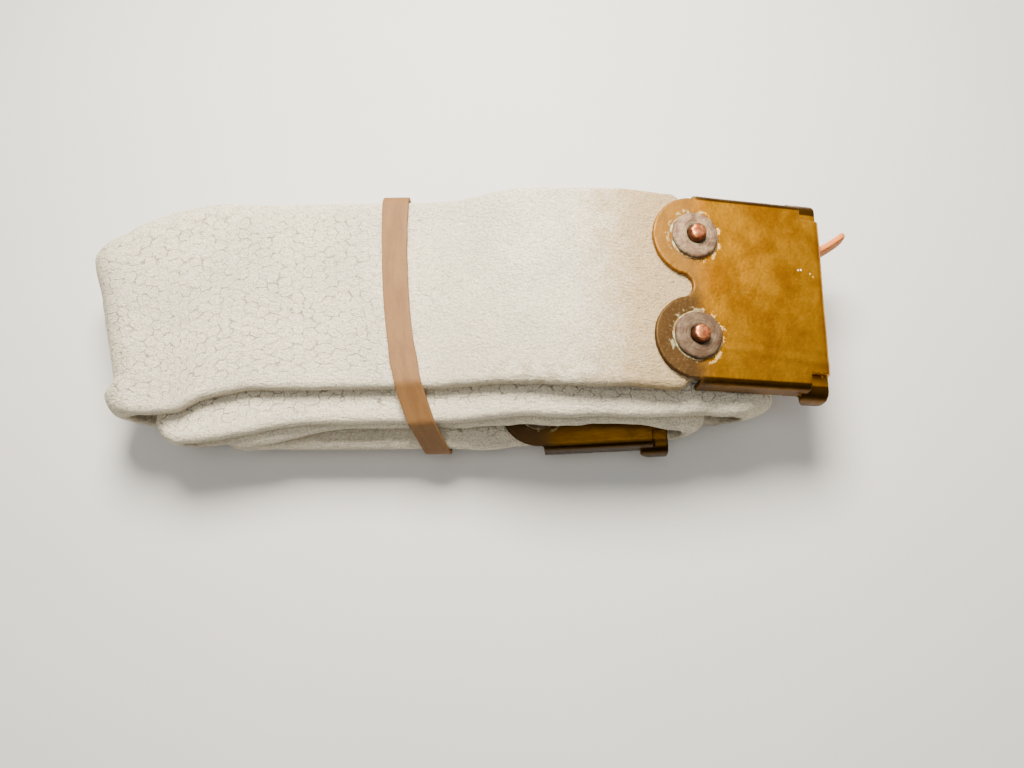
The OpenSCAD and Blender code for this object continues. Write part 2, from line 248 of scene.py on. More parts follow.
def uneven(par, w, t, s, p, x):
    """Adds relief and uneven edges to a section at pattern place s and at x."""
    reach = np.abs(par[:, 0]) + np.abs(par[:, 1])
    rounded = np.abs(par[:, 1]) > 0
    face = 1 - ss(HALF_W - 2.5, HALF_W - 0.5, reach)
    edge = np.sign(par[:, 0])
    rel = CELL_H * pillow(s, p) * face
    rel = rel + WAVE_H * noise2(s / 7.0 + 50, p / 5.0 + 50, 11) * face
    rel = rel + RIPPLE_H * noise2(s / 2.2 + 9, p / 1.6 + 31, 12)
    slid = float(ss(-42, -37, x) - ss(-12, -7, x))  # where the band slides
    rel = np.minimum(rel, SLIDE_RELIEF + 0.3 * (1 - slid))
    wob = WOBBLE * noise2(s / 6.0 + 20, edge * 3 + 40, 13)
    wob = wob + FRAY * noise2(s / 1.9 + 20, edge * 3 + 44, 14)
    calm = 1 - SLIDE_CALM * slid
    w = w + edge * wob * ss(HALF_W - 3.0, HALF_W, reach) * calm
    w = w + np.where(rounded, np.sign(par[:, 1]) * rel * ROUND_RELIEF * calm, 0)
    side = np.sign(t)
    return w, np.where(rounded, t, t + side * rel)


def mesh_object(name, verts, faces, uvs):
    """A smooth mesh from points in millimetres, with one UV for each corner of each face."""
    me = bpy.data.meshes.new(name)
    me.from_pydata([tuple(v) for v in np.asarray(verts) * MM], [], faces)
    me.validate()
    me.update()
    layer = me.uv_layers.new(name="mm")
    layer.data.foreach_set("uv", np.asarray(uvs, np.float32).ravel())
    me.polygons.foreach_set("use_smooth", [True] * len(me.polygons))
    obj = bpy.data.objects.new(name, me)
    bpy.context.scene.collection.objects.link(obj)
    return obj


def full_width(x, s):
    return HALF_W, HALF_W


def strap_piece(name, path, step, outward, s_of, par, half=full_width, skew=None, shape=None):
    """Sweeps the webbing along path.

    outward is +1 when the finely cut side of the section faces the path normal, else -1.
    s_of turns arc length into the pattern's coordinate. half gives near and far half widths
    over x and arc length. skew is (fade, f): f slants the first section, and the slant fades
    out over the length fade. shape moves finished points."""
    at, q, tx, tz = resample(path, step)
    n, m = len(at), len(par)
    peri, total = perimeter(par)
    s_pat = s_of(at)
    verts = np.zeros((n, m, 3))
    for i in range(n):
        w = section_across(par, *half(q[i, 0], at[i]))
        t = HALF_T * par[:, 2] * outward
        w, t = uneven(par, w, t, np.full(m, s_pat[i]), peri, q[i, 0])
        verts[i, :, 0] = q[i, 0] - tz[i] * t
        verts[i, :, 1] = q[i, 1] + w
        verts[i, :, 2] = q[i, 2] + tx[i] * t
    uv_s = np.repeat(s_pat[:, None], m, 1)
    if skew is not None:
        fade, f = skew
        lean = (1 - ss(0, fade, at))[:, None] * f(verts[:, :, 1])
        verts[:, :, 0] += lean
        uv_s = uv_s + (lean if s_pat[-1] > s_pat[0] else -lean)
    if shape is not None:
        verts = shape(verts, at, q)
    flip = outward > 0
    faces, uvs = [], []
    for i in range(n - 1):
        for j in range(m):
            k = (j + 1) % m
            pj = peri[j]
            pk = peri[k] if k else peri[0] - total
            quad = [i * m + j, i * m + k, (i + 1) * m + k, (i + 1) * m + j]
            uv = [(uv_s[i, j], pj), (uv_s[i, k], pk), (uv_s[i + 1, k], pk), (uv_s[i + 1, j], pj)]
            if flip:
                quad.reverse()
                uv.reverse()
            faces.append(quad)
            uvs.extend(uv)
    # closed ends, on their own points so that the surface shades straight through
    first = n * m
    for ring, rev in ((0, flip), (n - 1, not flip)):
        order = list(range(m)) if rev else list(range(m - 1, -1, -1))
        faces.append([first + j for j in order])
        uvs.extend([(uv_s[ring, j], peri[j]) for j in order])
        first += m
    points = np.concatenate([verts.reshape(-1, 3), verts[0], verts[n - 1]])
    return mesh_object(name, points, faces, uvs)


# ---------------------------------------------------------------- shader helper
class Val:
    """A socket in a node tree that can be used in sums and products."""

    def __init__(self, tree, sock):
        self.t, self.s = tree, sock

    def op(self, kind, *others):
        n = self.t.nodes.new("ShaderNodeMath")
        n.operation = kind
        for k, v in enumerate((self,) + others):
            if isinstance(v, Val):
                self.t.links.new(v.s, n.inputs[k])
            else:
                n.inputs[k].default_value = v
        return Val(self.t, n.outputs[0])

    def __add__(self, o):
        return self.op("ADD", o)

    __radd__ = __add__

    def __mul__(self, o):
        return self.op("MULTIPLY", o)

    def __sub__(self, o):
        return self.op("SUBTRACT", o)

    def __rsub__(self, o):
        return (self * -1.0) + o

    def __truediv__(self, o):
        return self.op("DIVIDE", o)

    def ramp(self, a, b):
        """0 at a, 1 at b, smooth between."""
        n = self.t.nodes.new("ShaderNodeMapRange")
        n.interpolation_type = "SMOOTHSTEP"
        self.t.links.new(self.s, n.inputs["Value"])
        lo, hi = (a, b) if a < b else (b, a)
        n.inputs["From Min"].default_value = lo
        n.inputs["From Max"].default_value = hi
        n.inputs["To Min"].default_value = 0.0 if a < b else 1.0
        n.inputs["To Max"].default_value = 1.0 if a < b else 0.0
        return Val(self.t, n.outputs["Result"])


class Mat:
    """A procedural material with a Principled shader."""

    def __init__(self, name):
        self.m = bpy.data.materials.new(name)
        self.m.use_nodes = True
        self.t = self.m.node_tree
        self.bsdf = self.t.nodes["Principled BSDF"]
        self.bump_in = None

    def val(self, sock):
        return Val(self.t, sock)

    def uv(self):
        """The "mm" UVs, which are lengths on the surface in millimetres."""
        n = self.t.nodes.new("ShaderNodeUVMap")
        n.uv_map = "mm"
        return n.outputs[0]

    def position(self):
        n = self.t.nodes.new("ShaderNodeTexCoord")
        return n.outputs["Object"]

    def split(self, vec):
        n = self.t.nodes.new("ShaderNodeSeparateXYZ")
        self.t.links.new(vec, n.inputs[0])
        return [self.val(n.outputs[k]) for k in range(3)]

    def mapped(self, vec, off, stretch):
        n = self.t.nodes.new("ShaderNodeMapping")
        n.inputs["Location"].default_value = off
        n.inputs["Scale"].default_value = stretch
        self.t.links.new(vec, n.inputs[0])
        return n.outputs[0]

    def noise(self, vec, scale, detail=2.0, rough=0.5, off=(0, 0, 0), stretch=(1, 1, 1),
              distort=0.0):
        n = self.t.nodes.new("ShaderNodeTexNoise")
        n.inputs["Scale"].default_value = scale
        n.inputs["Detail"].default_value = detail
        n.inputs["Roughness"].default_value = rough
        n.inputs["Distortion"].default_value = distort
        self.t.links.new(self.mapped(vec, off, stretch), n.inputs["Vector"])
        return self.val(n.outputs[0])

    def cells(self, vec, scale, off=(0, 0, 0), stretch=(1, 1, 1)):
        """Distance to the nearest of scattered points."""
        n = self.t.nodes.new("ShaderNodeTexVoronoi")
        n.feature = "F1"
        n.inputs["Scale"].default_value = scale
        self.t.links.new(self.mapped(vec, off, stretch), n.inputs["Vector"])
        return self.val(n.outputs["Distance"])

    def mix(self, fac, a, b):
        """Colour a where fac is 0 and b where it is 1."""
        n = self.t.nodes.new("ShaderNodeMix")
        n.data_type = "RGBA"
        if isinstance(fac, Val):
            self.t.links.new(fac.s, n.inputs[0])
        else:
            n.inputs[0].default_value = fac
        for k, v in ((6, a), (7, b)):
            if isinstance(v, bpy.types.NodeSocket):
                self.t.links.new(v, n.inputs[k])
            else:
                n.inputs[k].default_value = (*v, 1.0)
        return n.outputs[2]

    def set(self, **kw):
        """Sets inputs of the Principled shader, with _ for a space in the name."""
        for key, v in kw.items():
            name = key.replace("_", " ")
            socket = self.bsdf.inputs[name]
            if isinstance(v, Val):
                self.t.links.new(v.s, socket)
            elif isinstance(v, bpy.types.NodeSocket):
                self.t.links.new(v, socket)
            else:
                socket.default_value = v

    def bump(self, height, dist_mm, strength=1.0):
        """Adds a bump of the given height field in millimetres."""
        n = self.t.nodes.new("ShaderNodeBump")
        n.inputs["Strength"].default_value = strength
        n.inputs["Distance"].default_value = dist_mm * MM
        self.t.links.new(height.s, n.inputs["Height"])
        if self.bump_in is not None:
            self.t.links.new(self.bump_in, n.inputs["Normal"])
        self.bump_in = n.outputs[0]
        self.t.links.new(self.bump_in, self.bsdf.inputs["Normal"])


def lin(r, g, b):
    """sRGB bytes to linear."""
    out = []
    for c in (r, g, b):
        c /= 255
        out.append(c / 12.92 if c <= 0.04045 else ((c + 0.055) / 1.055) ** 2.4)
    return tuple(out)


# ---------------------------------------------------------------- materials
CELL_TALL = 1.254   # height of a crack cell over the distance of its rows
CELL_GAP = 4.39     # twice the distance between neighbouring cell centres
BRASS_HALF_W = 14.1
RIVET_RING = 4.25   # radius of the green crust round a burr


def webbing_material():
    """Whitened cotton. The UVs are lengths along the strap and round its section.

    Along the strap 0 is the joint of the upper flap, and the coil's side of it is positive."""
    m = Mat("whitened_webbing")
    uv = m.uv()
    s, p, _ = m.split(uv)
    # crackle: two interleaved lattices, warped, give a staggered honeycomb
    warp_a = m.noise(uv, 0.30, 2, 0.5, (3, 7, 0))
    warp_b = m.noise(uv, 0.30, 2, 0.5, (41, 17, 0))
    warp_c = m.noise(uv, 1.1, 1, 0.5, (11, 57, 0))
    warp_d = m.noise(uv, 1.1, 1, 0.5, (71, 37, 0))
    ws = s + (warp_a - 0.5) * 2.6 + (warp_c - 0.5) * 1.1
    wp = p + (warp_b - 0.5) * 1.3 + (warp_d - 0.5) * 0.6
    kx, ky = HEX_S, HEX_P * CELL_TALL
    x, y = ws / HEX_S, wp / HEX_P
    ax = x.op("FRACT") - 0.5
    ay = y.op("FRACT") - 0.5
    bx = (x + 0.5).op("FRACT") - 0.5
    by = (y + 0.5).op("FRACT") - 0.5
    da = (ax * kx).op("POWER", 2.0) + (ay * ky).op("POWER", 2.0)
    db = (bx * kx).op("POWER", 2.0) + (by * ky).op("POWER", 2.0)
    cross = (da - db).op("ABSOLUTE") / CELL_GAP
    near_a = (0.5 - ay.op("ABSOLUTE")) * ky
    near_b = (0.5 - by.op("ABSOLUTE")) * ky
    pick = da.op("LESS_THAN", db)
    own = near_a * pick + near_b * (1.0 - pick)
    edge = cross.op("MINIMUM", own)
    centre = da.op("MINIMUM", db)

    # where it shows: strongest left of the band, in patches, and not at the strap's edges
    left = s.ramp(-4.0, 20.0)
    patch = m.noise(uv, 0.50, 3, 0.6, (5, 91, 0))
    broken = m.noise(uv, 0.85, 2, 0.6, (55, 31, 0))
    shown = patch.ramp(0.38, 0.52) * broken.ramp(0.38, 0.52)
    off_edges = p.op("ABSOLUTE").ramp(15.0, 13.0)
    crack_w = m.noise(uv, 1.7, 2, 0.5, (15, 1, 0)) * 0.10
    line = (edge - crack_w).ramp(0.11, 0.02)
    amount = (left * 0.78 + 0.14) * (shown * 0.80 + 0.20) * off_edges
    crack = line * amount

    # threads and grain
    fine = m.noise(uv, 2.6, 4, 0.7, (1, 2, 0), (1.0, 1.3, 1.0), 0.8)
    fine2 = m.noise(uv, 5.8, 3, 0.65, (31, 12, 0))
    grain = m.cells(uv, 2.1, (7, 3, 0), (1.0, 1.25, 1.0))
    along = m.noise(uv, 1.0, 3, 0.6, (8, 4, 0), (0.5, 3.2, 1.0))
    rim = p.op("ABSOLUTE").ramp(13.8, 15.6)
    under = p.op("ABSOLUTE").ramp(17.6, 19.2)
    twill = ((s * 1.15 + p) * 3.1).op("SINE")
    dimple = m.noise(uv, 1.25, 3, 0.65, (19, 66, 0), (1.0, 1.5, 1.0))

    broad = m.noise(uv, 0.10, 3, 0.55, (61, 22, 0))
    mottle = m.noise(uv, 0.42, 3, 0.6, (13, 82, 0))
    col = m.mix(broad.ramp(0.35, 0.65), lin(228, 216, 188), lin(247, 233, 200))
    col = m.mix(mottle.ramp(0.45, 0.72) * 0.40, col, lin(214, 202, 178))
    col = m.mix(fine.ramp(0.56, 0.40) * 0.55, col, lin(150, 136, 106))
    col = m.mix(dimple.ramp(0.48, 0.34) * 0.40, col, lin(172, 158, 130))
    col = m.mix(fine2.ramp(0.48, 0.60) * 0.75, col, lin(255, 253, 244))
    col = m.mix(crack * 0.72, col, lin(118, 104, 84))
    col = m.mix(rim * along.ramp(0.45, 0.65) * 0.35, col, lin(184, 167, 136))
    # brass stain towards the upper end; there too, painted shade darkens the near side, and
    # patchy dirt mixed with painted shade darkens the near edge
    stain_n = m.noise(uv, 0.33, 3, 0.6, (23, 46, 0))
    stain = (s + (stain_n - 0.5) * 10.0 + (fine - 0.5) * 10.0).ramp(-19.0, -31.0)
    col = m.mix(stain * 0.72, col, lin(176, 140, 84))
    # patches of dirt along the near edge, mixed with painted shade
    edge_patch_noise = m.noise(uv, 0.6, 3, 0.6, (93, 6, 0))
    near_edge_dirt_and_shade = p.ramp(-9.0, -15.0) * edge_patch_noise.ramp(0.42, 0.62)
    # painted shade: the near half of the top face darkens towards the upper end
    near_side_shade = p.ramp(2.0, -15.0) * s.ramp(30.0, -20.0)
    col = m.mix(near_side_shade * 0.16, col, lin(176, 160, 126))
    col = m.mix(near_edge_dirt_and_shade * s.ramp(10.0, -20.0) * 0.45, col, lin(150, 132, 98))
    col = m.mix(1.0 - under * 0.30, lin(178, 164, 136), col)
    m.set(Base_Color=col, Roughness=0.88, Specular_IOR_Level=0.18)
    m.bump(1.0 - crack, 0.06, 0.6)
    m.bump((centre * -0.25).op("EXPONENT"), 0.04, 0.6)
    m.bump(fine, 0.42, 1.0)
    m.bump(dimple, 0.34, 1.0)
    m.bump(grain, 0.09, 0.8)
    m.bump(along * rim, 0.20, 0.8)
    m.bump(twill * under, 0.14, 0.9)
    return m.m


def brass_material(name, dark=0.0):
    """Tarnished brass. The UVs are the plate's own: x from the rivet line, y across.

    dark is the share of the dark tone that covers the whole plate; on the lower plate it is
    painted shade."""
    m = Mat(name)
    uv = m.uv()
    x, y, _ = m.split(uv)
    mottled = m.noise(uv, 0.16, 4, 0.6, (3, 8, 0), (1, 1, 1), 0.2)
    blotch = m.noise(uv, 0.42, 4, 0.65, (13, 38, 0), (1, 1, 1), 0.2)
    fine = m.noise(uv, 2.2, 4, 0.65, (33, 8, 0))
    streak = m.noise(uv, 0.55, 4, 0.65, (21, 4, 0), (0.28, 2.6, 1.0))
    scuff = m.noise(uv, 1.3, 3, 0.6, (71, 14, 0), (0.14, 2.2, 1.0), 0.4)
    dy = y.op("ABSOLUTE") - RIVET_GAP / 2
    dist = (x.op("POWER", 2.0) + dy.op("POWER", 2.0)).op("SQRT")
    wob = (m.noise(uv, 0.8, 3, 0.6, (9, 3, 0)) - 0.5) * 1.6
    lobe = (x + (blotch - 0.5) * 3.0).ramp(3.4, -1.0)
    ring = (dist + wob - RIVET_RING).op("ABSOLUTE").ramp(0.50, 0.10)
    crust = ring * m.noise(uv, 0.7, 3, 0.6, (2, 63, 0)).ramp(0.50, 0.60)

    bright = lin(232, 160, 22)
    gold = lin(192, 124, 8)
    olive = lin(134, 92, 8)
    brown = lin(104, 72, 28)
    col = m.mix(mottled.ramp(0.36, 0.64), gold, bright)
    col = m.mix(blotch.ramp(0.52, 0.75) * 0.5, col, olive)
    # painted shade: the plate darkens towards its near side
    col = m.mix(y.ramp(2.0, -14.0) * 0.55, col, lin(158, 108, 22))
    col = m.mix(streak.ramp(0.58, 0.72) * 0.12, col, lin(240, 196, 96))
    col = m.mix(lobe * 0.80, col, brown)
    # painted shade: the lobe on the near side is darkened further
    col = m.mix(lobe * y.ramp(3.0, -3.0) * 0.85, col, lin(56, 38, 14))
    col = m.mix(lobe * fine.ramp(0.52, 0.66) * 0.10, col, lin(176, 150, 112))
    # painted shade: dark darkens the whole plate, used for the lower plate deep in the coil
    if dark:
        col = m.mix(dark, col, lin(66, 44, 10))
    # painted shade: the bent-down flange sides are darkened
    side = y.op("ABSOLUTE").ramp(BRASS_HALF_W, BRASS_HALF_W + 0.3) * x.ramp(0.0, 1.0)
    col = m.mix(side * 0.85, col, lin(46, 30, 6))
    col = m.mix(crust * 0.55, col, lin(170, 164, 122))
    # old white paint specks near the folded end
    speck = m.cells(uv, 1.15, (4, 9, 0)).ramp(0.24, 0.14)
    away = ((x - 17.6).op("POWER", 2.0) + (y - 2.8).op("POWER", 2.0)).op("SQRT")
    dot = speck * (away + (blotch - 0.5) * 3.0).ramp(1.9, 1.2)
    col = m.mix(dot * 0.9, col, lin(238, 232, 210))
    white = (crust * 0.9).op("MAXIMUM", dot)
    rough = 0.30 + fine * 0.16 + lobe * 0.20 + white * 0.35 + blotch.ramp(0.5, 0.8) * 0.10
    m.set(Base_Color=col, Roughness=rough, Metallic=1.0 - white * 0.9 - lobe * 0.25)
    m.bump(scuff.ramp(0.56, 0.66), 0.008, 0.7)
    m.bump(fine, 0.010, 0.6)
    m.bump(blotch, 0.14, 0.6)
    m.bump(crust, 0.08, 0.8)
    return m.m


def copper_material():
    """Rivets, bright at the top of the shank. The UVs are radius and height."""
    m = Mat("worn_copper")
    pos = m.position()
    _, h, _ = m.split(m.uv())
    n1 = m.noise(pos, 900.0, 3, 0.6)
    n2 = m.noise(pos, 2600.0, 3, 0.6, (5, 1, 2))
    top = h.ramp(2.6, 3.1)
    col = m.mix(n1.ramp(0.35, 0.65), lin(150, 82, 52), lin(222, 142, 92))
    col = m.mix((1.0 - top) * 0.85, col, lin(66, 50, 38))
    col = m.mix(n2.ramp(0.56, 0.7) * 0.3, col, lin(120, 82, 62))
    m.set(Base_Color=col, Metallic=0.92, Roughness=0.30 + n2 * 0.2)
    m.bump(n1, 0.10, 0.7)
    m.bump(n2, 0.03, 0.7)
    return m.m


def burr_material(name, dark):
    """Dull washer with turned rings. The UVs are radius and height."""
    m = Mat(name)
    pos = m.position()
    r, _, _ = m.split(m.uv())
    n1 = m.noise(pos, 700.0, 4, 0.65)
    n2 = m.noise(pos, 2200.0, 4, 0.65, (5, 1, 2))
    n3 = m.noise(pos, 420.0, 3, 0.6, (8, 3, 1))
    rings = ((r + n3 * 0.35) * 13.0).op("SINE")
    col = m.mix(n1.ramp(0.4, 0.62), lin(122, 92, 70), lin(176, 148, 116))
    col = m.mix(rings.ramp(0.2, 1.0) * 0.16, col, lin(196, 178, 144))
    green = lin(176, 180, 146)
    inner = r.ramp(2.1, 1.75) * n2.ramp(0.36, 0.5)
    outer = r.ramp(3.3, 3.6) * n1.ramp(0.45, 0.58)
    col = m.mix(inner * 0.35, col, green)
    col = m.mix(outer * 0.45, col, green)
    col = m.mix(n2.ramp(0.60, 0.70) * 0.45, col, lin(104, 74, 62))
    col = m.mix(n3.ramp(0.56, 0.70) * 0.35, col, lin(158, 104, 82))
    # dark darkens the whole burr; the near burr's larger share is painted shade
    col = m.mix(dark, col, lin(62, 42, 24))
    m.set(Base_Color=col, Metallic=0.35, Roughness=0.55 + n2 * 0.25)
    m.bump(rings, 0.008, 0.8)
    m.bump(n1, 0.16, 0.8)
    m.bump(n2, 0.06, 0.9)
    return m.m


def crust_material():
    """Green and brown crust where the burrs meet the brass."""
    m = Mat("verdigris_crust")
    pos = m.position()
    n1 = m.noise(pos, 900.0, 4, 0.65)
    n2 = m.noise(pos, 2600.0, 4, 0.65, (5, 1, 2))
    col = m.mix(n1.ramp(0.44, 0.66), lin(118, 94, 56), lin(186, 182, 146))
    col = m.mix(n2.ramp(0.52, 0.66) * 0.6, col, lin(104, 76, 48))
    m.set(Base_Color=col, Metallic=0.0, Roughness=0.85)
    m.bump(n1, 0.25, 0.9)
    m.bump(n2, 0.10, 0.9)
    return m.m


def rubber_material(name, base, light, dark):
    """Rubber, lighter at its edges. The UVs are lengths along and across the strip."""
    m = Mat(name)
    uv = m.uv()
    _, across, _ = m.split(uv)
    n1 = m.noise(uv, 0.25, 3, 0.6, (2, 5, 0), (0.5, 2.0, 1.0))
    n2 = m.noise(uv, 2.4, 3, 0.6, (12, 5, 0), (0.6, 1.6, 1.0))
    n3 = m.noise(uv, 7.0, 2, 0.5, (2, 15, 0))
    side = across.op("ABSOLUTE").ramp(1.2, 2.05)
    col = m.mix(n1.ramp(0.35, 0.65), base, light)
    col = m.mix(side * 0.35, col, light)
    col = m.mix(n2.ramp(0.56, 0.74) * 0.25, col, dark)
    m.set(Base_Color=col, Roughness=0.62 + n2 * 0.12, Specular_IOR_Level=0.35)
    m.set(Subsurface_Weight=0.12)
    m.bsdf.inputs["Subsurface Radius"].default_value = (0.0012, 0.0007, 0.0004)
    m.bump(n2, 0.05, 0.7)
    m.bump(n3, 0.015, 0.7)
    return m.m


WEB = webbing_material()
BRASS_UP = brass_material("upper_brass")
# painted shade: the lower plate is darkened overall
BRASS_LOW = brass_material("lower_brass", 0.92)
COPPER = copper_material()
# painted shade: the near burrs are darkened more than the far ones
BURR = {1: burr_material("dull_burr", 0.45), -1: burr_material("shaded_near_burr", 0.80)}
CRUST = crust_material()
RUBBER = rubber_material("tan_rubber", lin(108, 74, 38), lin(120, 85, 46), lin(92, 61, 28))
TAIL = rubber_material("pink_rubber", lin(196, 110, 44), lin(210, 124, 56), lin(156, 84, 34))


def dress(obj, mat, body=None, node=None):
    """Gives a piece its material, and puts it on its body in place of a CAD node."""
    obj.data.materials.append(mat)
    if body is not None:
        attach(obj, body)
    if node is not None:
        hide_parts(node)


# ---------------------------------------------------------------- webbing pieces
X_CUT = -18.5       # the coil and the flap part here, under the rubber band
FLAP_END = 13.5     # the flap and the tip part here
INNER_X = -12.6     # the coil and the inner end part here
F1_X, F2_X, F3_X = -64.0, -54.3, -45.0   # the left folds begin here, outermost first
R1_X, R2_X = 36.0, 26.2                  # and the right folds here
OUTER_S = 96.0      # the outermost turn ends at this arc length, halfway along pass 2
MIDDLE_S = 226.0    # and the next turn's right fold ends before this one
F3_REACH, F3_TOP = 60, 12.5   # the innermost left fold is nearer to the end, and lower
FINE, COARSE = 0.45, 0.85     # steps of the mesh where it shows most, and elsewhere
FINE_S = 66
S_PIVOT = abs(X_CUT - FLAP_X)
INNER_S = 700       # the inner end's pattern starts here
WEB_STOP = 14.9     # the webbing ends this far past the rivet line
SQUEEZE = 1.75      # each half narrows by this between the flanges
TAPER, TAPER_STOP = 2.8, 0.2  # from so far before the rivet line to so far past it


def trim(x):
    """How far the far corner of the outermost turn is drawn in; it swells a little first."""
    return 1.5 * ss(-60, -66, x) - 1.65 * (ss(-41, -51, x) - ss(-55, -62, x))


def slant(x, y):
    """Curved, slanting fold line of the outermost turn, its near corner flaring out."""
    corner = soft(y - 7.9, 1) - 0.4 * ss(2, 5, y) - 1.95 * ss(-13, -16.2, y)
    return (1.45 - 0.267 * (y + 1)) * ss(-48, -62, x) + corner * ss(-60, -67, x)


def band_x(y, z):
    """The slanting, slightly curved line that the rubber band follows."""
    return X_CUT - 0.109 * y + 0.00414 * y * y + 0.13 * (15 - z) * ss(10, -14, y)


def skew_to_band(y):
    return band_x(y, 17.5) - X_CUT


def outer_half(x, s):
    """Half widths over the coil: only the outermost turn is drawn in at its far corner."""
    return HALF_W, HALF_W - (float(trim(x)) if s < OUTER_S else 0.0)


def end_half(rivet_x, near_from):
    """Half widths of the webbing as it narrows between the flanges."""
    def f(x, s):
        near, far = (HALF_W - SQUEEZE * float(ss(start, rivet_x + TAPER_STOP, x))
                     for start in (near_from, rivet_x - TAPER))
        return near, far
    return f


def corner(verts, q, depth, reach, grow):
    """How far the near corner of each section moves: by reach at the edge, by 0 past depth."""
    near = verts[:, :, 1] - (q[:, 1:2] - HALF_W)
    return reach * np.clip((depth - near) / depth, 0, 1) ** 2 * grow[:, None]


def coil_shape(verts, at, q):
    """Slants the outermost turn and rounds the near corners of the folds."""
    out = verts.copy()
    n_out = int(np.searchsorted(at, OUTER_S))
    v = verts[:n_out]
    out[:n_out, :, 0] += slant(v[:, :, 0], v[:, :, 1])
    inside = at >= OUTER_S
    lowest = inside & (q[:, 2] < F3_TOP) & (at > at[-1] - F3_REACH)
    for start, reach, rows in ((R1_X, 1.7, at < MIDDLE_S), (R2_X, 1.9, at > OUTER_S)):
        grow = np.clip((q[:, 0] - start) / 3, 0, 1) * rows
        out[:, :, 0] -= corner(verts, q, 2.8, reach, grow)
    for start, reach, rows in ((F1_X, 1.3, ~inside), (F2_X, 2.8, inside), (F3_X, 1.6, lowest)):
        grow = np.clip((start + 0.5 - q[:, 0]) / 3, 0, 1) * rows
        out[:, :, 0] += corner(verts, q, 3.6, reach, grow)
    return out


def coil_path():
    path = np.concatenate([
        run(X_CUT, F1_X, 1, 800),
        fold(F1_X, 1, 2, 5.9, -1),
        run(F1_X, R1_X, 2, 1600),
        fold(R1_X, 2, 3, 4.7, 1),
        run(R1_X, F2_X, 3, 1600),
        fold(F2_X, 3, 4, 3.4, -1),
        run(F2_X, R2_X, 4, 1500),
        fold(R2_X, 4, 5, 3.6, 1),
        run(R2_X, F3_X, 5, 1400),
        fold(F3_X, 5, 6, 1.375, -1, 60),
        run(F3_X, INNER_X, 6, 500),
    ])
    gaps = np.linalg.norm(np.diff(path, axis=0), axis=1)
    return path[np.concatenate([[True], gaps > 1e-4])]


def end_run(start, rivet_x, slope, k):
    """Pass k from start to where the webbing ends inside a brass end."""
    return run(start, rivet_x + WEB_STOP * math.cos(math.atan(slope)), k, 1200)


def bend(obj, k, joint_x):
    """Bakes the piece's transform into its mesh; the height of pass k at joint_x is worked out
    but not used.
    """
    z = PASS_Z[k](joint_x) * MM
    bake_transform(obj)


fine_section = section_param(FINE, 1.5)
coil_obj = strap_piece(
    "webbing_coil", coil_path(), lambda s: FINE if s < FINE_S else COARSE, -1,
    lambda at: at + S_PIVOT, fine_section, outer_half, skew=(24.0, skew_to_band),
    shape=coil_shape)
dress(coil_obj, WEB, "coil", "strap_coil")

flap_path = run(X_CUT, FLAP_END, 1, 1200)
flap_len = arclen(flap_path)[-1]
flap_obj = strap_piece(
    "webbing_flap", flap_path, lambda s: FINE, 1,
    lambda at: S_PIVOT - at, fine_section, skew=(9.0, skew_to_band))
bend(flap_obj, 1, FLAP_X)
dress(flap_obj, WEB, node="strap_upper_flap")

tip_obj = strap_piece(
    "webbing_tip", end_run(FLAP_END, UP_X, END_SLOPE, 1), lambda s: FINE, 1,
    lambda at: S_PIVOT - flap_len - at, fine_section, end_half(UP_X, UP_X - TAPER))
bend(tip_obj, 1, TIP_X)
dress(tip_obj, WEB, node="strap_upper_tip")

inner_obj = strap_piece(
    "webbing_inner_end", end_run(INNER_X, LOW_X, LOW_SLOPE, 6), lambda s: 0.7, 1,
    lambda at: INNER_S + at, section_param(0.8, 1.8), end_half(LOW_X, -6))
bend(inner_obj, 6, SWING_X)
dress(inner_obj, WEB, node="strap_inner_end")


# ---------------------------------------------------------------- brass ends
def place_matrix(k, x, slope, skew):
    """Frame of a brass end, in millimetres: its rivet line on the upper face of pass k."""
    spot = Matrix.Translation((x, float(PASS_Y[k](x)), float(PASS_Z[k](x))))
    fall = Matrix.Rotation(math.atan(slope), 4, "Y")
    turn = Matrix.Rotation(math.atan(skew), 4, "Z")
    return np.array(spot @ fall @ Matrix.Translation((0, 0, HALF_T)) @ turn, float)


def placed(points, place):
    return points @ place[:3, :3].T + place[:3, 3]


UP_PLACE = place_matrix(1, UP_X, END_SLOPE, -UP_SKEW)
LOW_PLACE = place_matrix(6, LOW_X, -LOW_SLOPE, LOW_SKEW)
VOXEL = 0.16
DENT = 0.12      # depth of the dents
RIPPLE = 0.10    # and of the ripples along the near side
SOFTEN = 0.6     # share of both that is left


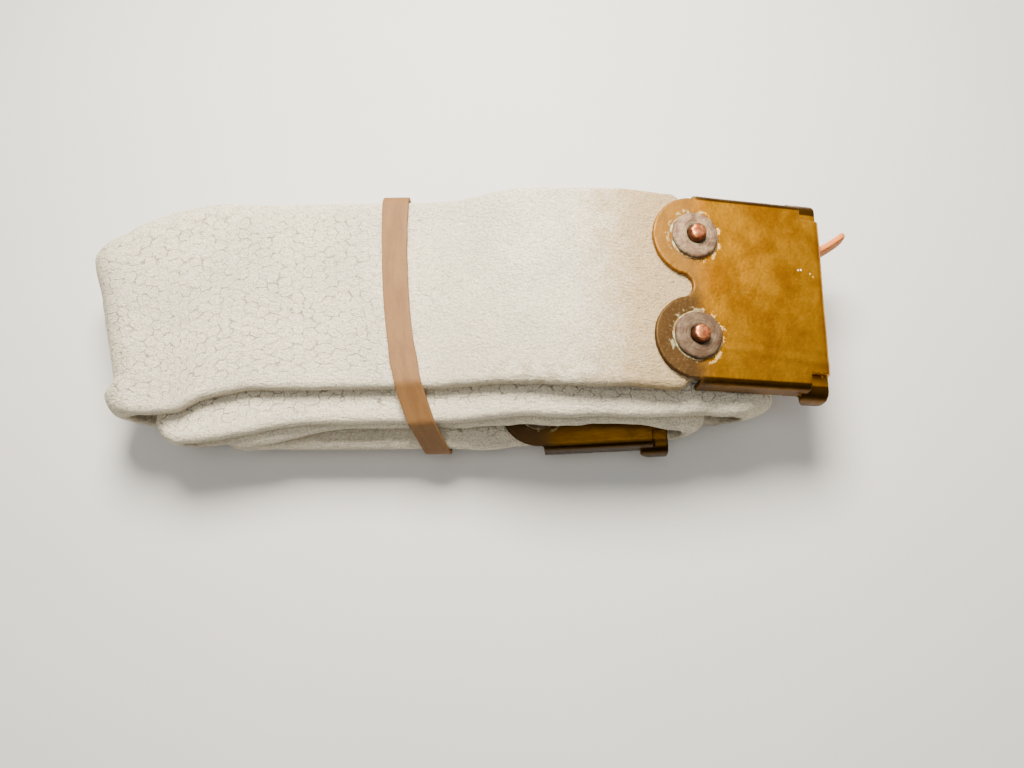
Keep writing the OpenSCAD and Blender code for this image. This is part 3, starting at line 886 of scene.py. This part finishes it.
def remeshed(name, node, place, seed):
    """A finely meshed copy of a CAD node with softened edges and shallow dents."""
    tmp = bpy.data.objects.new(name, NODES[node].data.copy())
    bpy.context.scene.collection.objects.link(tmp)
    mod = tmp.modifiers.new("r", "REMESH")
    mod.mode = "VOXEL"
    mod.voxel_size = VOXEL * MM
    mod.use_smooth_shade = True
    sm = tmp.modifiers.new("s", "SMOOTH")
    sm.factor = 0.5
    sm.iterations = 3
    deps = bpy.context.evaluated_depsgraph_get()
    me = bpy.data.meshes.new_from_object(tmp.evaluated_get(deps))
    bpy.data.objects.remove(tmp)
    obj = bpy.data.objects.new(name, me)
    bpy.context.scene.collection.objects.link(obj)
    co = np.zeros(len(me.vertices) * 3)
    me.vertices.foreach_get("co", co)
    loc = placed(co.reshape(-1, 3) / MM, np.linalg.inv(place))
    x, y = loc[:, 0], loc[:, 1]
    h = DENT * noise2(x / 6.5 + 10, y / 6.5 + 30, seed)
    h += 0.3 * DENT * noise2(x / 2.4 + 10, y / 2.4 + 30, seed + 1)
    near = np.exp(-((y + 9.5 + 0.12 * (x - 8)) / 1.5) ** 2)
    h += RIPPLE * near * ss(2, 6, x) * np.sin(y * 2.6 + x * 0.25)
    loc[:, 2] += h * SOFTEN
    me.vertices.foreach_set("co", (placed(loc, place) * MM).ravel())
    layer = me.uv_layers.new(name="mm")
    idx = np.zeros(len(me.loops), np.int32)
    me.loops.foreach_get("vertex_index", idx)
    layer.data.foreach_set("uv", loc[idx][:, :2].astype(np.float32).ravel())
    me.polygons.foreach_set("use_smooth", [True] * len(me.polygons))
    me.materials.clear()
    me.update()
    return obj


for name, node, place, mat, body, seed in (
    ("upper_brass_plate", "upper_brass_end", UP_PLACE, BRASS_UP, "upper_end", 31),
    ("lower_brass_plate", "lower_brass_end", LOW_PLACE, BRASS_LOW, "inner_end", 41),
):
    dress(remeshed(name, node, place, seed), mat, body, node)


# ---------------------------------------------------------------- turned pieces
LATHE_STEP = 0.16
WELD = 0.000002


def lathe(name, place, centre_y, profile, seg, rough, seed):
    """Turns a closed profile of (radius, height) about a rivet's axis, with uneven skin."""
    prof = np.array(profile, float)
    dense = []
    for a, b in zip(prof[:-1], prof[1:]):
        steps = max(1, int(np.hypot(*(b - a)) / LATHE_STEP))
        dense.extend(a + (b - a) * j / steps for j in range(steps))
    dense = np.array(dense + [prof[-1]])
    r, z = dense[:, 0], dense[:, 1]
    m = len(dense)
    rings = []
    for i in range(seg):
        a = 2 * math.pi * i / seg
        ca, sa = math.cos(a), math.sin(a)
        dr = rough * noise2(np.full(m, 7 + 2.2 * ca), 9 + 2.2 * sa + z * 0.9, seed)
        dz = rough * noise2(5 + r * 1.1 * ca, 5 + r * 1.1 * sa, seed + 1)
        out = np.maximum(r + dr * np.minimum(1, r), 0)
        rings.append(np.stack([out * ca, out * sa, z + dz], 1))
    faces, uvs = [], []
    for i in range(seg):
        n = (i + 1) % seg
        for j in range(m - 1):
            faces.append([i * m + j, n * m + j, n * m + j + 1, i * m + j + 1])
            uvs.extend(tuple(dense[k]) for k in (j, j, j + 1, j + 1))
    points = placed(np.concatenate(rings) + np.array([0, centre_y, 0]), place)
    obj = mesh_object(name, points, faces, uvs)
    weld = obj.modifiers.new("w", "WELD")
    weld.merge_threshold = WELD
    deps = bpy.context.evaluated_depsgraph_get()
    me = bpy.data.meshes.new_from_object(obj.evaluated_get(deps))
    obj.modifiers.clear()
    obj.data = me
    return obj


RIVET_PROFILE = [
    (0, -3.6), (3.6, -3.6), (4.0, -3.45), (4.1, -3.1), (3.95, -2.66), (1.45, -2.64),
    (1.45, 0.9), (1.42, 2.2), (1.3, 2.7), (1.24, 2.95), (1.08, 3.13), (0.7, 3.2), (0, 3.19)]
BURR_PROFILE = [
    (1.47, 0.98), (3.45, 0.98), (3.66, 1.1), (3.7, 1.35), (3.58, 1.66), (3.2, 1.84),
    (2.4, 1.97), (1.8, 1.98), (1.55, 1.92), (1.47, 1.8), (1.47, 0.98)]
CRUST_PROFILE = [
    (3.5, 0.88), (3.86, 0.88), (3.93, 0.93), (3.86, 1.0), (3.75, 1.06), (3.5, 1.08), (3.5, 0.88)]

for end, place, body in (("upper", UP_PLACE, "upper_end"), ("lower", LOW_PLACE, "inner_end")):
    for side, sign in (("far", 1), ("near", -1)):
        seed = 50 + 7 * sign + (20 if end == "upper" else 0)
        for kind, suffix, profile, seg, rough, mat, slot in (
            ("rivet", "_turned", RIVET_PROFILE, 72, 0.07, COPPER, "copper"),
            ("burr", "_turned", BURR_PROFILE, 96, 0.09, BURR[sign], "burr"),
            ("crust", "", CRUST_PROFILE, 96, 0.16, CRUST, "burr"),
        ):
            o = lathe(f"{end}_{kind}_{side}{suffix}", place, sign * RIVET_GAP / 2, profile,
                      seg, rough, seed)
            # the crust stands for no CAD node
            dress(o, mat, body, f"{end}_{kind}_{side}" if suffix else None)
            seed += 2


# ---------------------------------------------------------------- rubber band
BAND_W, BAND_T = 4.2, 0.75
LAP = 1.2          # the band's inner face lies this far off the corner points
EDGE_CURL = 0.10   # the edges of a stretched band curl a little off the webbing
CORNER_STEPS, SIDE_STEPS = 12, 20
# corner points round the stack in YZ, from the far top one
STACK = [
    (14.9, 16.4), (-14.9, 16.4), (-19.9, 13.72), (-23.1, 8.15),
    (-23.1, 7.75), (-21.1, 5), (-18.2, 2.25), (11.6, 2.25), (14.9, 16)]


def rounded_loop(m, power):
    """A rounded rectangle of half width and half height 1: places across and through."""
    ang = 2 * np.pi * (np.arange(m) + 0.5) / m
    return (np.sign(f(ang)) * np.abs(f(ang)) ** power for f in (np.cos, np.sin))


def band_line():
    """Points on the inner face of the band and their outward normals, in YZ."""
    st = np.array(STACK, float)
    n = len(st)
    turns = []
    for i in range(n):
        d = st[(i + 1) % n] - st[i]
        turns.append(math.atan2(-d[0], d[1]))
    pts, nrm = [], []
    for i in range(n):
        a, b = turns[i - 1], turns[i]
        b -= 2 * math.pi * round((b - a) / (2 * math.pi))
        for g in np.linspace(a, b, CORNER_STEPS):
            out = np.array([math.cos(g), math.sin(g)])
            pts.append(st[i] + LAP * out)
            nrm.append(out)
        out = np.array([math.cos(b), math.sin(b)])
        for k in range(1, SIDE_STEPS):
            pts.append(st[i] + (st[(i + 1) % n] - st[i]) * k / SIDE_STEPS + LAP * out)
            nrm.append(out)
    return np.array(pts), np.array(nrm)


def rubber_band(step=0.35, m=32):
    c, nn = band_line()
    c2, n2 = np.concatenate([c, c[:1]]), np.concatenate([nn, nn[:1]])
    d = np.hypot(*np.diff(c2, axis=0).T)
    s = np.concatenate([[0], np.cumsum(d)])
    good = np.concatenate([[True], d > 1e-6])
    total = s[-1]
    cnt = int(total / step)
    at = np.arange(cnt) * total / cnt
    cy, cz = (np.interp(at, s[good], c2[good, k]) for k in (0, 1))
    ny, nz = (np.interp(at, s[good], n2[good, k]) for k in (0, 1))
    ln = np.hypot(ny, nz)
    ny, nz = ny / ln, nz / ln
    mid = np.stack([band_x(cy, cz), cy, cz], 1)
    along = np.roll(mid, -1, 0) - np.roll(mid, 1, 0)
    out = np.stack([0 * ny, ny, nz], 1)
    wide = np.cross(along, out)
    wide *= np.sign(wide[:, :1]) / np.linalg.norm(wide, axis=1, keepdims=True)
    across, through = rounded_loop(m, 0.4)
    turn = 2 * np.pi * at / total
    wave = 0.045 * noise2(np.cos(turn) * 5 + 9, np.sin(turn) * 5 + 9, 3)
    half = BAND_W / 2 * (1 + wave)
    lift = (through * 0.5 + 0.5)[None, :] * BAND_T + EDGE_CURL * (across ** 6)[None, :]
    verts = mid[:, None, :] + (across[None, :] * half[:, None])[:, :, None] * wide[:, None, :]
    verts = verts + lift[:, :, None] * out[:, None, :]
    faces, uvs = [], []
    for i in range(cnt):
        k = (i + 1) % cnt
        sa, sb = at[i], at[i] + total / cnt
        for j in range(m):
            h = (j + 1) % m
            faces.append([i * m + j, i * m + h, k * m + h, k * m + j])
            uvs.extend((a, across[b] * BAND_W / 2)
                       for a, b in ((sa, j), (sa, h), (sb, h), (sb, j)))
    return mesh_object("rubber_band_loop", verts.reshape(-1, 3), faces, uvs)


dress(rubber_band(), RUBBER, "rubber_band", "rubber_band")

TAIL_LEN, TAIL_HALF_W, TAIL_HALF_T = 17, 1.75, 0.58
TAIL_TWIST = np.radians(84)
TAIL_LEAN = 0.2


def tail_piece(n=60, m=20):
    """The loose strip behind the upper brass end: flat, then on edge, with a rounded tip."""
    u = np.linspace(0, 1, n)
    c = np.stack([40.6 + 14.1 * u, 3.6 + 4.4 * u * u + 1.8 * u, 15.8 - 1.55 * ss(0, 0.5, u)], 1)
    roll = TAIL_TWIST * ss(0.1, 0.6, u)
    tip_w, tip_h = (np.sqrt(np.maximum(low, 1 - np.maximum(0, (u - start) / (1 - start)) ** 2))
                    for low, start in ((0.0004, 0.90), (0.01, 0.95)))
    w = TAIL_HALF_W * tip_w * (1 - 0.1 * u)
    h = TAIL_HALF_T * tip_h
    across, through = rounded_loop(m, 0.5)
    verts = np.zeros((n, m, 3))
    for i in range(n):
        cr, sr = math.cos(roll[i]), math.sin(roll[i])
        b = np.array([-TAIL_LEAN * cr, cr, sr])
        t = np.array([TAIL_LEAN, -sr, cr])
        verts[i] = c[i] + np.outer(across * w[i], b) + np.outer(through * h[i], t)
    faces, uvs = [], []
    for i in range(n - 1):
        for j in range(m):
            k = (j + 1) % m
            faces.append([i * m + j, (i + 1) * m + j, (i + 1) * m + k, i * m + k])
            uvs.extend((u[a] * TAIL_LEN, across[b] * 1.7)
                       for a, b in ((i, j), (i + 1, j), (i + 1, k), (i, k)))
    for first, order, s in ((0, range(m), 0), ((n - 1) * m, range(m - 1, -1, -1), TAIL_LEN)):
        faces.append([first + j for j in order])
        uvs.extend((s, across[j]) for j in order)
    return mesh_object("rubber_tail", verts.reshape(-1, 3), faces, uvs)


dress(tail_piece(), TAIL, "coil", "band_tail")

# ---------------------------------------------------------------- stage, light, camera
FLOOR_Z = -0.0002
floor_mat = Mat("floor")
floor_n = floor_mat.noise(floor_mat.position(), 30.0, 2, 0.5)
floor_col = floor_mat.mix(floor_n, (0.62, 0.61, 0.59), (0.66, 0.65, 0.63))
floor_mat.set(Base_Color=floor_col, Roughness=0.9)
bpy.ops.mesh.primitive_plane_add(size=4.0, location=(0, 0, FLOOR_Z))
floor = bpy.context.active_object
floor.name = "floor"
floor.data.materials.append(floor_mat.m)


def area(name, loc, target, size, power, color):
    """A round area light at loc that faces target, in metres."""
    data = bpy.data.lights.new(name, "AREA")
    data.shape = "DISK"
    data.size = size
    data.energy = power
    data.color = color
    o = bpy.data.objects.new(name, data)
    o.location = loc
    o.rotation_euler = (Vector(target) - Vector(loc)).to_track_quat("-Z", "Y").to_euler()
    bpy.context.scene.collection.objects.link(o)


area("key", (-0.01, 0.085, 0.165), (0, 0.0, 0.015), 0.09, 1.55, (1.0, 0.93, 0.80))
area("sky", (-0.02, -0.12, 0.55), (0, 0, 0.01), 0.35, 1.35, (1.0, 0.98, 0.94))

# soft light from all round, brighter from the far side
world = bpy.data.worlds.new("studio")
bpy.context.scene.world = world
world.use_nodes = True
wt = world.node_tree
where_n = wt.nodes.new("ShaderNodeTexCoord")
sep_n = wt.nodes.new("ShaderNodeSeparateXYZ")
map_n = wt.nodes.new("ShaderNodeMapRange")
wt.links.new(where_n.outputs["Generated"], sep_n.inputs[0])
wt.links.new(sep_n.outputs["Y"], map_n.inputs["Value"])
for key, value in (("From Min", -0.6), ("From Max", 0.7), ("To Min", 0.06), ("To Max", 0.50)):
    map_n.inputs[key].default_value = value
wt.nodes["Background"].inputs[0].default_value = (1.0, 0.98, 0.95, 1)
wt.links.new(map_n.outputs["Result"], wt.nodes["Background"].inputs[1])

# the camera looks down from the near side, PITCH off the vertical
CAMERA_AWAY = 120
PITCH, YAW = math.radians(14), math.radians(2)
cam_data = bpy.data.cameras.new("camera")
cam_data.sensor_width = 36.0
cam_data.lens = 27.04
cam_data.clip_start = 0.005
cam = bpy.data.objects.new("camera", cam_data)
bpy.context.scene.collection.objects.link(cam)
bpy.context.scene.camera = cam
cp = math.cos(PITCH)
back = Vector((math.sin(YAW) * cp, -math.sin(PITCH), math.cos(YAW) * cp))
right = Vector((0, 1, 0)).cross(back).normalized()
up = back.cross(right)
where = Vector((0, -15.5, 17)) * MM + back * CAMERA_AWAY * MM
turned = Matrix((right, up, back)).transposed().to_4x4()
cam.matrix_world = Matrix.Translation(where) @ turned
